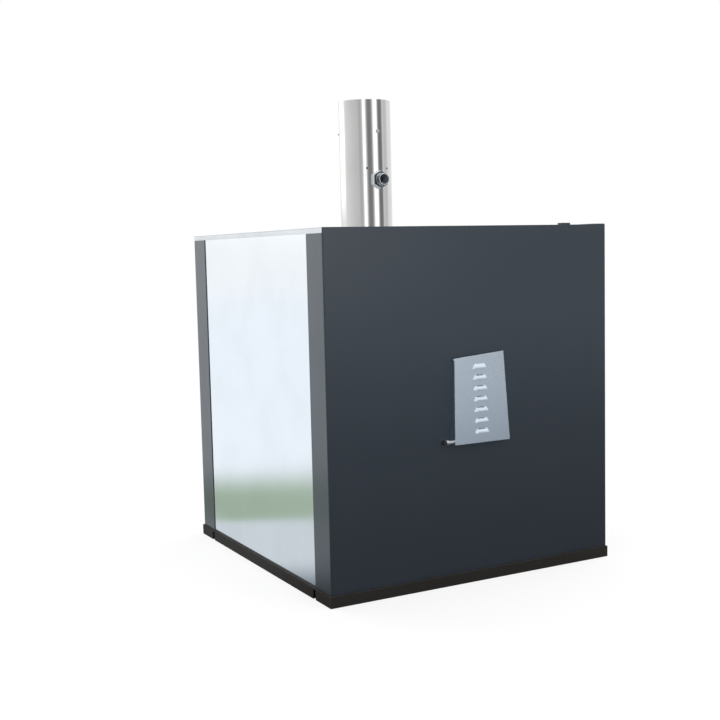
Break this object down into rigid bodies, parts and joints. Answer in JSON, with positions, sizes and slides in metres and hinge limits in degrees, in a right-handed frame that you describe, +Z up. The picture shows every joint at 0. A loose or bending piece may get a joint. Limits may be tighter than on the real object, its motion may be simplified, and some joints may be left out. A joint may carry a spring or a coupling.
{
  "type": "wood-fired bake oven",
  "caption": "Square insulated oven casing with a firebox below a baking chamber, hinged doors, ash drawer, flue pipe with damper and side port, and a louvred side vent flap.",
  "frame": {"origin": "middle of the base tray's underside, below the middle of the square casing", "axes": "+Z up along the flue pipe, -Y towards the doors at the front, -X towards the side with the vent flap"},
  "size_m": [0.9256, 0.9625, 1.314],
  "materials": {
    "painted_casing": "satin",
    "base_paint": "satin",
    "polished_back": "polished",
    "roof_steel": "satin",
    "frame_steel": "matte",
    "wool": "matte",
    "hot_steel": "matte",
    "firebrick": "matte",
    "fireclay": "matte",
    "cast_iron": "matte",
    "door_paint": "satin",
    "bright_steel": "satin",
    "rope": "matte",
    "grip_wood": "satin",
    "dial_case": "polished",
    "dial_face": "matte",
    "dial_pointer": "matte",
    "dial_glass": "gloss",
    "flue_steel": "satin",
    "fitting_steel": "polished",
    "vent_steel": "satin"
  },
  "bodies": {
    "root": {"base_tray": "base_paint", "left_side_panel": "painted_casing", "right_side_panel": "painted_casing", "back_panel": "polished_back", "roof_sheet": "roof_steel", "front_panel": "painted_casing", "frame_posts": "frame_steel", "frame_top_rails": "frame_steel", "cradle_tubes": "frame_steel", "mineral_wool": "wool", "steel_hot_box": "hot_steel", "base_blocks": "firebrick", "firebrick_floor": "firebrick", "firebrick_walls": "firebrick", "fire_grate": "cast_iron", "ash_housing": "hot_steel", "baking_chamber": "hot_steel", "hearth_slabs": "fireclay", "heat_store_slabs": "firebrick", "baking_throat": "hot_steel", "fire_throat": "hot_steel", "baking_hinge_lugs": "door_paint", "baking_hinge_pins": "bright_steel", "fire_hinge_lugs": "door_paint", "fire_hinge_pins": "bright_steel", "damper_box": "cast_iron", "flue_socket": "hot_steel", "flue_pipe": "flue_steel", "flue_collar": "roof_steel", "flue_screws": "bright_steel", "port_hexagon": "fitting_steel", "port_socket": "fitting_steel", "vent_frame": "vent_steel", "vent_hinge_pin": "bright_steel", "vent_stay_pin": "bright_steel", "roof_clips": "painted_casing"},
    "ash_drawer": {"ash_drawer_tub": "hot_steel", "ash_drawer_front": "door_paint", "ash_drawer_handle": "bright_steel"},
    "baking_door": {"baking_door_box": "door_paint", "baking_door_plug": "fireclay", "baking_door_rope": "rope", "baking_door_knuckles": "door_paint", "thermometer_case": "dial_case", "thermometer_dial": "dial_face", "thermometer_glass": "dial_glass"},
    "baking_lever": {"baking_latch": "bright_steel", "baking_latch_grip": "grip_wood"},
    "pointer": {"thermometer_pointer": "dial_pointer"},
    "fire_door": {"fire_door_box": "door_paint", "fire_door_plug": "fireclay", "fire_door_rope": "rope", "fire_door_knuckles": "door_paint", "rosette_rivet": "bright_steel"},
    "fire_lever": {"fire_latch": "bright_steel", "fire_latch_grip": "grip_wood"},
    "rosette": {"air_rosette": "cast_iron"},
    "damper": {"damper_gate": "bright_steel", "damper_knob": "grip_wood"},
    "flap": {"vent_flap": "vent_steel"}
  },
  "joints": [
    {"name": "vent_flap_hinge", "type": "hinge", "parent": "root", "child": "flap", "pos_m": [-0.452, -0.006, 0.598], "axis": [0, 1, 0], "range_deg": [0, 24]},
    {"name": "baking_door_hinge", "type": "hinge", "parent": "root", "child": "baking_door", "pos_m": [-0.285, -0.468, 0.604], "axis": [0, 0, -1], "range_deg": [0, 110]},
    {"name": "baking_latch_turn", "type": "hinge", "parent": "baking_door", "child": "baking_lever", "pos_m": [0.205, -0.468, 0.604], "axis": [0, 1, 0], "range_deg": [0, 90]},
    {"name": "thermometer_turn", "type": "hinge", "parent": "baking_door", "child": "pointer", "pos_m": [0, -0.492, 0.604], "axis": [0, 1, 0], "range_deg": [0, 270]},
    {"name": "fire_door_hinge", "type": "hinge", "parent": "root", "child": "fire_door", "pos_m": [-0.185, -0.468, 0.329], "axis": [0, 0, -1], "range_deg": [0, 110]},
    {"name": "fire_latch_turn", "type": "hinge", "parent": "fire_door", "child": "fire_lever", "pos_m": [0.105, -0.468, 0.329], "axis": [0, 1, 0], "range_deg": [0, 90]},
    {"name": "air_rosette_turn", "type": "hinge", "parent": "fire_door", "child": "rosette", "pos_m": [-0.034, -0.49, 0.329], "axis": [0, 1, 0], "range_deg": [0, 30]},
    {"name": "ash_drawer_slide", "type": "slide", "parent": "root", "child": "ash_drawer", "axis": [0, -1, 0], "range_m": [0, 0.42]},
    {"name": "damper_slide", "type": "slide", "parent": "root", "child": "damper", "axis": [0, -1, 0], "range_m": [0, 0.165]}
  ]
}
